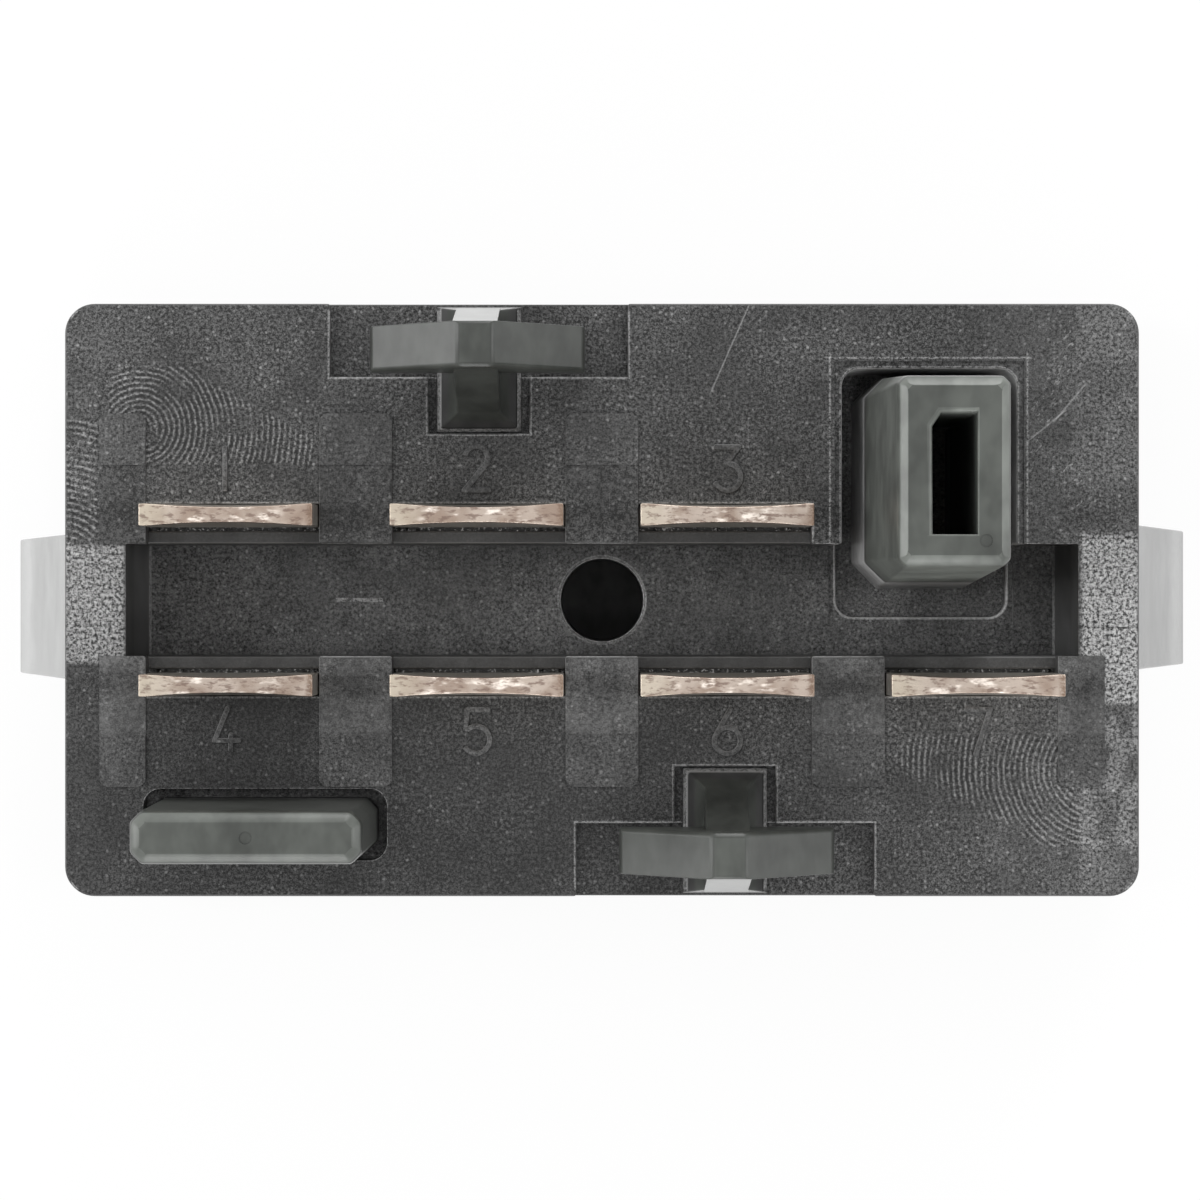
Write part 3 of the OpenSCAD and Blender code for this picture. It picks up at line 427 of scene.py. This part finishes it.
def rubbed_tone(m, on, blotch):
    """What handling and the cutter add to the tone: bright ends, a worn corner and scratches."""
    grit = m.noise(8.0, detail=3.0, roughness=0.75)
    rims = m.plus(m.area((-HALF_L, -17.8), (-2.2, 1.9), 0.25),
        m.times(m.area((17.85, HALF_L), (-3.7, 2.3), 0.25), 1.3))
    patch = m.plus(m.area((17.7, HALF_L), (9.0, 10.7), 0.35), m.area((17.7, HALF_L), (-10.7, -8.9), 0.2))
    rubbed = m.times(m.area((17.8, HALF_L), (-8.9, -3.7), 0.4), m.rise(blotch, 0.42, 0.58, 0.1, 0.5))
    ends = m.plus(rims, m.plus(m.times(patch, 0.2), rubbed))
    worn = m.plus(m.area((16.0, 17.5), (4.8, 10.5), 0.35), m.area((17.3, 18.0), (2.2, 4.8), 0.3))
    worn = m.times(worn, m.rise(m.noise(0.9, detail=2.0), 0.42, 0.55))
    slanted = m.join(m.times(m.plus(m.x, m.y), 0.45), m.minus(m.y, m.x), m.z)
    flecks = m.noise(4.5, detail=3.0, roughness=0.7, at=slanted)
    pale = m.area((17.7, HALF_L), (4.7, 7.2), 0.6)
    scratches = m.plus(m.line((5.39, 10.79), (4.06, 7.76), 0.05), m.line((17.8, 7.9), (16.8, 6.7), 0.06))
    scratches = m.plus(scratches, m.line((17.0, 6.9), (15.9, 6.0), 0.05))
    tone = m.plus(m.times(worn, m.rise(flecks, 0.55, 0.68, 0.0, 0.2)),
        m.times(pale, m.rise(grit, 0.36, 0.6, 0.0, 0.05)))
    tone = m.plus(tone, m.times(ends, m.rise(grit, 0.38, 0.62, 0.0, 0.30)))
    return m.times(m.plus(tone, m.times(scratches, 0.16)), on.land)


def seam_tone(m, on):
    """What the joints of the mould take from the tone: two seams and the edges of an insert."""
    seams = m.plus(m.line((17.8, -1.02), (HALF_L, -1.02), 0.07), m.line((17.8, 2.3), (HALF_L, 2.3), 0.09))
    insert = m.plus(m.line((-17.03, -10.1), (-17.03, -HALF_W), 0.05),
        m.line((-7.85, -10.1), (-7.85, -HALF_W), 0.05))
    return m.times(m.plus(m.times(seams, 0.2), m.times(insert, 0.02)), on.land)


def painted_edge_highlights(m, on):
    """Painted highlights along the edges of the channel, the reliefs and the moat's pocket, and a pale
    dash.
    """
    rounded = m.times(m.between(m.up, 0.25, 0.97, 0.02), on.inside)
    outlines = m.times(rounded, m.plus(m.between(m.z, FLOOR_Z - 0.2, FLOOR_Z + 0.2, 0.01),
        m.between(m.z, SILL_Z + 0.1, LAND_Z + 0.02, 0.01)))
    left, right = POCKET_X
    pocket = m.plus(m.line((left, 2.0), (left, 9.0), 0.06), m.line((right, 2.0), (right, 9.0), 0.06))
    pocket = m.plus(pocket, m.line((left, POCKET_TOP), (right, POCKET_TOP), 0.06))
    return m.plus(m.plus(outlines, m.times(pocket, on.land)), on.dash)


def base_tone(m, on, facing):
    """The plain tone of each part of the housing, with painted light: lighter sunk floors and moat, a
    lighter low side on the post, and painted highlights on the chamfers of the post and rib.
    """
    land = m.blend(on.finer, m.rise(m.x, 12.0, 16.0, 0.050, 0.068), 0.030)
    # Painted light: the sunk floors, and the moat most of all, are lighter than the land.
    tone = m.blend(on.sunk, m.blend(on.moat, land, 0.4), m.blend(on.moat, 0.092, 0.10))
    # Painted light on the post's sides: the low side, facing -y, is lighter than the others.
    side = m.blend(on.post, 0.040, m.rise(facing, -0.8, -0.62, 0.14, 0.09))
    # Painted highlights on the chamfers of the post and the rib.
    chamfer = m.blend(on.rib, m.blend(on.post, 0.055, 0.16), 0.11)
    top = m.blend(on.level, chamfer, m.blend(on.post, 0.078, 0.083))
    raised = m.blend(m.rise(m.up, 0.45, 0.55), side, top)
    tone = m.blend(on.above, m.blend(on.sill, tone, 0.048), raised)
    tone = m.blend(on.strip, tone, m.blend(m.rise(m.y, -0.1, 0.1), 0.080, 0.042))
    tone = m.blend(on.digit, m.blend(on.high_strip, tone, 0.054), 0.078)
    return m.blend(on.outer, m.blend(on.arms, tone, 0.025), 0.045)


def make_housing_material():
    """Black nylon from a spark-eroded mould, paler where it stands proud or has been rubbed, with painted
    highlights, glints, light and shade.
    """
    m = Shade("black_nylon", IOR=1.53, Specular_IOR_Level=0.36)
    on = housing_masks(m)
    dots, speckle = eroded_grain(m)
    smudge = m.noise(0.35, detail=3.0, roughness=0.55)
    blotch = m.noise(1.6, detail=2.0, at=m.vector("MULTIPLY", m.place, (1.0, 0.6, 1.0)))
    # How far a face turns to the upper left, where the painted light comes from.
    facing = m.vector("DOT_PRODUCT", m.normal, (-0.6, 0.8, 0.0))

    tone = base_tone(m, on, facing)
    uneven = m.times(m.rise(smudge, 0.3, 0.7, -0.22, 0.22), m.blend(on.outer, 1.0, 0.35))
    uneven = m.plus(uneven, m.times(m.rise(blotch, 0.3, 0.7, -0.15, 0.15), m.blend(on.outer, 1.0, 0.3)))
    tone = m.times(tone, m.plus(uneven, 1.0))
    tone = m.times(tone, m.rise(m.x, -17.0, -19.5, 1.0, 1.3))
    # Painted shade: darker spots on the strips between the blade ends.
    tone = m.blend(m.times(on.shade_spots, 0.6), tone, m.times(tone, 0.4))
    # The speckle and its painted glints, stronger where the smudge is.
    tone = m.plus(tone, m.times(m.times(speckle, on.eroded), m.rise(smudge, 0.35, 0.62, 0.085, 0.15)))
    tone = m.plus(tone, rubbed_tone(m, on, blotch))
    glints = m.times(m.rise(on.machined, 0.1, 0.95), m.rise(dots, 0.42, 0.60, 0.1, 1.2))
    tone = m.plus(tone, m.plus(m.times(on.machined, 0.035), m.times(glints, 0.12)))
    # Painted highlights along the edges, broken up by the dots.
    tone = m.plus(tone, m.times(painted_edge_highlights(m, on), m.rise(dots, 0.38, 0.6, 0.02, 0.24)))
    # Painted light on the sloping walls below the land, more of it left of x = 5 mm.
    leaning = m.times(m.between(m.up, 0.2, 0.92, 0.03), m.rise(m.z, LAND_Z - 0.6, LAND_Z - 0.5, 1.0, 0.0))
    tone = m.plus(tone, m.times(leaning, m.rise(m.x, 5.0, 6.0, 0.03, 0.012)))
    # Painted light and shade on the sides of the digits: lighter where they face the upper left, darker
    # where they face away.
    side_of_digit = m.times(m.between(m.z, LAND_Z + 0.01, DIGIT_Z + 0.01, 0.005),
        m.rise(m.up, 0.96, 0.9, 0.0, 1.0))
    tone = m.plus(tone, m.times(side_of_digit, m.rise(facing, -0.3, 0.5, -0.03, 0.17)))
    tone = m.minus(tone, seam_tone(m, on))
    # Painted light in the bore: its bottom is five times lighter, against its deep shade.
    tone = m.times(m.math("MAXIMUM", tone, 0.004), m.blend(on.bore, 1.0, 5.0))
    olive = m.dye(m.math("MAXIMUM", on.above, on.arms), (1.0, 1.0, 1.0), (0.93, 1.0, 0.91))
    colour = m.vector("MULTIPLY", m.grey(tone), olive)

    roughness = m.blend(on.arms, m.blend(on.eroded, 0.34, 0.56), 0.13)
    roughness = m.blend(on.bore, m.plus(roughness, m.times(m.minus(smudge, 0.5), 0.12)), 1.0)
    flow = m.noise(3.0, detail=3.0, at=m.vector("MULTIPLY", m.place, (1.0, 1.0, 0.15)))
    skin = m.bump(m.times(dots, m.plus(on.eroded, 0.1)), 0.03, m.bump(flow, 0.003))
    return m.finish(colour, roughness, m.bump(on.machined, 0.005, skin))


# ------------------------------------------------------------------ other materials


def make_grained_plastic(name, colour, grain_scale, depth, roughness, mottle=0.12, **constants):
    """Moulded plastic with a fine grain and slightly uneven tone and gloss."""
    m = Shade(name, **constants)
    grain = m.noise(grain_scale, detail=3.0)
    smudge = m.noise(0.3, detail=3.0, roughness=0.6)
    tone = m.times(m.rise(smudge, 0.3, 0.7, 1 - mottle, 1 + mottle), m.rise(grain, 0.3, 0.7, 0.93, 1.07))
    rough = m.plus(m.rise(smudge, 0.3, 0.7, roughness - 0.05, roughness + 0.07),
        m.times(m.minus(grain, 0.5), 0.08))
    return m.finish(m.tint(colour, tone), rough, m.bump(grain, depth))


def make_blade_metal():
    """Copper alloy strip: tinned faces, bare where it was sheared, with painted shade in its tears and
    painted highlights on its sheared ends.
    """
    m = Shade("blade_metal", Metallic=1.0)
    sheared = m.rise(m.math("ABSOLUTE", m.up), 0.75, 0.95)
    torn = m.vector("MULTIPLY", m.place, (0.45, 1.2, 1.0))
    tear = m.noise(4.5, detail=3.0, roughness=0.65, at=torn)
    crumb = m.noise(13.0, detail=3.0, roughness=0.7)
    warm = m.noise(0.9, detail=2.0)
    along = m.math("FRACT", m.times(m.x, 1 / PITCH))
    left_end = m.rise(along, 0.16, 0.34, 1.0, 0.0)
    right_burr = m.rise(along, 0.81, 0.84)
    bare = m.dye(m.rise(warm, 0.35, 0.65), (0.35, 0.27, 0.22), (0.52, 0.44, 0.38))
    bare = m.dye(m.times(left_end, 0.7), bare, (0.60, 0.54, 0.44))
    # Painted shade in the crevices of the tear.
    bare = m.dye(m.rise(tear, 0.36, 0.50, 0.75, 0.0), bare, (0.20, 0.14, 0.115))
    bare = m.dye(m.times(right_burr, m.rise(crumb, 0.4, 0.55, 0.3, 0.9)), bare, (0.22, 0.15, 0.11))
    # Painted highlights on the middle of each sheared end.
    gleam = m.noise(2.9, detail=2.0, at=torn)
    shine = m.times(m.rise(gleam, 0.50, 0.66), m.rise(tear, 0.40, 0.62))
    shine = m.times(shine, m.between(along, 0.34, 0.64, 0.12))
    bare = m.dye(shine, bare, (0.95, 0.86, 0.78))
    drawn = m.noise(14.0, detail=3.0, at=m.vector("MULTIPLY", m.place, (1.0, 1.0, 0.04)))
    tin = m.dye(m.rise(drawn, 0.35, 0.65), (0.54, 0.50, 0.45), (0.62, 0.58, 0.53))
    tin = m.dye(m.rise(warm, 0.3, 0.7), tin, (0.50, 0.45, 0.39))
    near_end = m.rise(m.z, LAND_Z + 2.3, LAND_Z + 3.05)
    tin = m.dye(m.times(near_end, m.rise(crumb, 0.4, 0.6)), tin, (0.60, 0.46, 0.37))
    colour = m.dye(sheared, tin, bare)
    rough = m.blend(sheared, m.rise(drawn, 0.3, 0.7, 0.30, 0.38), m.rise(crumb, 0.3, 0.7, 0.36, 0.56))
    height = m.blend(sheared, m.times(drawn, 0.03), m.plus(m.times(tear, 0.7), m.times(crumb, 0.3)))
    return m.finish(colour, rough, m.bump(height, 0.035))


def make_drawn_metal(name, low, high, scale, roughness):
    """Metal with fine drawing lines along Z and uneven tarnish."""
    m = Shade(name, Metallic=1.0)
    lines = m.noise(scale, detail=3.0, at=m.vector("MULTIPLY", m.place, (1.0, 1.0, 0.12)))
    tarnish = m.noise(0.9, detail=3.0)
    colour = m.dye(m.plus(m.times(lines, 0.4), m.times(tarnish, 0.6)), low, high)
    return m.finish(colour, m.rise(lines, 0.3, 0.7, roughness - 0.06, roughness + 0.08),
        m.bump(lines, 0.003))


def make_lamp_glass():
    m = Shade("lamp_glass", IOR=1.5, Transmission_Weight=0.85)
    swirl = m.noise(0.8, detail=2.0)
    colour = m.dye(m.rise(swirl, 0.35, 0.65), (0.96, 0.93, 0.84), (0.99, 0.98, 0.95))
    return m.finish(colour, m.rise(swirl, 0.3, 0.7, 0.04, 0.1), m.bump(swirl, 0.02))


# ------------------------------------------------------------------ pieces

black_nylon = make_housing_material()
blade_metal = make_blade_metal()
steel = make_drawn_metal("spring_steel", (0.48, 0.48, 0.49), (0.68, 0.67, 0.65), 9.0, 0.28)
copper = make_drawn_metal("bridge_copper", (0.62, 0.30, 0.16), (0.84, 0.48, 0.28), 5.0, 0.3)
silver = make_drawn_metal("contact_silver", (0.70, 0.69, 0.66), (0.88, 0.87, 0.84), 5.0, 0.22)
lead_metal = make_drawn_metal("lead_metal", (0.58, 0.56, 0.50), (0.76, 0.74, 0.68), 6.0, 0.34)
bezel_black = make_grained_plastic("bezel_black", (0.022, 0.022, 0.023), 7.0, 0.02, 0.44)
button_red = make_grained_plastic("button_red", (0.62, 0.014, 0.012), 9.0, 0.005, 0.3, 0.06,
    Subsurface_Weight=0.15, Subsurface_Scale=0.6 * MM)
symbol_white = make_grained_plastic("symbol_white", (0.86, 0.85, 0.81), 9.0, 0.006, 0.3, 0.03,
    Subsurface_Weight=0.3, Subsurface_Scale=0.8 * MM)
diffuser_white = make_grained_plastic("diffuser_white", (0.84, 0.84, 0.79), 6.0, 0.01, 0.5, 0.04)
slider_natural = make_grained_plastic("slider_natural", (0.76, 0.74, 0.66), 6.0, 0.01, 0.38, 0.05,
    Subsurface_Weight=0.25, Subsurface_Scale=1.0 * MM)
holder_white = make_grained_plastic("holder_white", (0.80, 0.80, 0.77), 6.0, 0.01, 0.42, 0.04)
lamp_glass = make_lamp_glass()

paint(soften("rear_housing", "body", 0.2, housing_share, 3), black_nylon)
paint(soften("front_bezel", "body", 0.1), bezel_black)
paint(soften("button_cap", "button", 0.12), button_red)
paint(soften("slider", "button", 0.06), slider_natural)
for number in range(1, 8):
    paint(soften(f"terminal_{number}", "body", 0.035), blade_metal)
for node, material in (
        ("hazard_symbol", symbol_white), ("diffuser", diffuser_white),
        ("bridge_upper_left", copper), ("bridge_lower_left", copper), ("bridge_lower_right", copper),
        ("spring_upper_left", steel), ("spring_lower_left", steel), ("spring_lower_right", steel),
        ("moving_rivets", silver), ("fixed_rivets", silver), ("catch_pin", steel),
        ("lamp_left", lamp_glass), ("lamp_right", lamp_glass), ("lamp_holder_left", holder_white),
        ("lamp_holder_right", holder_white), ("lamp_leads", lead_metal)):
    paint(nodes[node], material)


# ------------------------------------------------------------------ return spring


def add_return_coil():
    """A copy of the return spring, on the body."""
    piece = add_object("return_coil", nodes["return_spring"].data.copy())
    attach(piece, "body")
    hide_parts("return_spring")
    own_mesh(piece)
    return piece


paint(add_return_coil(), steel)

# ------------------------------------------------------------------ flash and painted gap shade at the feet of the blades


def add_flash_and_gap_shade():
    """A ragged skin of plastic that closes the gap between each blade and its sill; its near-black
    material is painted shade for the gap, with flecks of flash.
    """
    ragged = random.Random(7)
    tooth, skin, depth, ripped = 0.14, 0.02, 0.5, 0.12
    mesh = bpy.data.meshes.new("blade_flash_and_gap_shade")
    bm = bmesh.new()
    blades = [(-1.5, 1), (-0.5, 1), (0.5, 1), (-1.5, -1), (-0.5, -1), (0.5, -1), (1.5, -1)]
    for middle, side in blades:
        count = round(SLOT_WIDTH / tooth)
        rows = []
        for i in range(count + 1):
            x = middle * PITCH - SLOT_WIDTH / 2 + SLOT_WIDTH * i / count
            top = SILL_Z - skin - ragged.uniform(0.0, ripped)
            foot = SILL_Z - depth
            rows.append([bm.verts.new((x * MM, side * y * MM, z * MM)) for y, z in (
                (BLADE_INNER_Y, top), (SILL_Y, top), (SILL_Y, foot), (BLADE_INNER_Y, foot))])
        for row, onto in zip(rows, rows[1:]):
            for j in range(4):
                corners = (row[j], row[(j + 1) % 4], onto[(j + 1) % 4], onto[j])
                bm.faces.new(corners if side > 0 else corners[::-1])
        bm.faces.new(rows[0][::-1] if side > 0 else rows[0])
        bm.faces.new(rows[-1] if side > 0 else rows[-1][::-1])
    bmesh.ops.recalc_face_normals(bm, faces=bm.faces)
    bm.to_mesh(mesh)
    bm.free()
    piece = add_object(mesh.name, mesh)
    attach(piece, "body")
    return piece


def make_flash_and_gap_shade_material():
    m = Shade("flash", Roughness=0.5, Specular_IOR_Level=0.36)
    crumb = m.noise(9.0, detail=2.0, roughness=0.7)
    # Painted shade: near black for the gap, with light flecks of flash.
    tone = m.plus(0.006, m.times(m.rise(crumb, 0.56, 0.66), 0.32))
    return m.finish(m.grey(tone), None, m.bump(crumb, 0.03))


paint(add_flash_and_gap_shade(), make_flash_and_gap_shade_material())

# ------------------------------------------------------------------ floor, light and camera

WHITE = (1.0, 1.0, 1.0, 1.0)
FLOOR_GLOW = 0.9  # part of the floor's white that doesn't depend on light, the rest shows shadows
FILL = 0.6  # strength of the light from all round

# Lamps round the switch: name, azimuth, radiance of the high one and of the low one
SIDE_LAMPS = (("left", 175, 6.0, 3.6), ("back", 80, 5.0, 4.2), ("right", 0, 4.0, 1.2),
    ("front", 265, 4.0, 3.2))
# Lamps under it: name, elevation, azimuth, size, radiance
UNDER_LAMPS = (("left", -58, 180, 0.22, 0.15), ("back", -70, 90, 0.20, 1.0),
    ("front", -70, 270, 0.20, 0.6))
LAMP_DISTANCE = 0.4
HIGH_ELEVATION, HIGH_SIZE = 38, 0.12
LOW_ELEVATION, LOW_SIZE = 8, 0.20


def make_floor():
    """A pale floor that only the camera sees from above, where it keeps the object's shadow."""
    half = 3.0
    mesh = bpy.data.meshes.new("floor")
    mesh.from_pydata([(-half, -half, 0), (half, -half, 0), (half, half, 0), (-half, half, 0)], [],
        [(0, 1, 2, 3)])
    floor = add_object("floor", mesh)
    floor.location.z = -0.02 * MM
    material = bpy.data.materials.new("floor")
    material.use_nodes = True
    tree = material.node_tree
    tree.nodes.clear()
    camera_ray = add_node(tree, "ShaderNodeLightPath", {}, "Is Camera Ray")
    backfacing = add_node(tree, "ShaderNodeNewGeometry", {}, "Backfacing")
    shown = add_node(tree, "ShaderNodeMath", {0: camera_ray, 1: backfacing},
        operation="SUBTRACT", use_clamp=True)
    pale = add_node(tree, "ShaderNodeBsdfDiffuse", {"Color": WHITE})
    glow = add_node(tree, "ShaderNodeEmission", {"Color": WHITE, "Strength": 1.0})
    surface = add_node(tree, "ShaderNodeMixShader", {0: FLOOR_GLOW, 1: pale, 2: glow})
    clear = add_node(tree, "ShaderNodeBsdfTransparent", {})
    both = add_node(tree, "ShaderNodeMixShader", {0: shown, 1: clear, 2: surface})
    end = tree.nodes.new("ShaderNodeOutputMaterial")
    tree.links.new(both, end.inputs["Surface"])
    mesh.materials.append(material)


def make_world():
    """White to the camera, gloss and glass; a plain soft fill for everything else."""
    world = bpy.data.worlds.new("studio")
    world.use_nodes = True
    tree = world.node_tree
    ray = tree.nodes.new("ShaderNodeLightPath").outputs
    seen = add_node(tree, "ShaderNodeMath", {0: ray["Is Camera Ray"], 1: ray["Is Glossy Ray"]},
        operation="MAXIMUM")
    seen = add_node(tree, "ShaderNodeMath", {0: seen, 1: ray["Is Transmission Ray"]},
        operation="MAXIMUM")
    strength = add_node(tree, "ShaderNodeMapRange", {"Value": seen, "To Min": FILL, "To Max": 1.0})
    background = tree.nodes["Background"]
    background.inputs["Color"].default_value = WHITE
    tree.links.new(strength, background.inputs["Strength"])
    bpy.context.scene.world = world


def make_softbox(name, elevation, azimuth, size, radiance):
    """A square lamp that faces the switch; radiance 1 is as bright as the white background."""
    lamp = bpy.data.lights.new(name, "AREA")
    lamp.shape = "SQUARE"
    lamp.size = size
    lamp.energy = 4 * radiance * size * size
    box = add_object(name, lamp)
    across = math.cos(math.radians(elevation))
    outward = Vector((across * math.cos(math.radians(azimuth)), across * math.sin(math.radians(azimuth)),
        math.sin(math.radians(elevation))))
    box.location = Vector((0, 0, 0.02)) + LAMP_DISTANCE * outward
    box.rotation_euler = outward.to_track_quat("Z", "Y").to_euler()
    box.visible_camera = False


def make_camera():
    """Straight down on the terminal side."""
    data = bpy.data.cameras.new("camera")
    data.sensor_width = SENSOR_WIDTH
    data.lens = LENS_LENGTH
    data.clip_start, data.clip_end = 0.005, 10.0
    camera = add_object("camera", data)
    camera.location = (CAMERA_X * MM, 0, (LAND_Z + CAMERA_HEIGHT) * MM)
    bpy.context.scene.camera = camera


make_floor()
make_world()
for name, azimuth, high, low in SIDE_LAMPS:
    make_softbox("high_" + name, HIGH_ELEVATION, azimuth, HIGH_SIZE, high)
    make_softbox("low_" + name, LOW_ELEVATION, azimuth, LOW_SIZE, low)
for name, elevation, azimuth, size, radiance in UNDER_LAMPS:
    make_softbox("under_" + name, elevation, azimuth, size, radiance)
make_camera()
bpy.context.scene.view_settings.view_transform = "Standard"
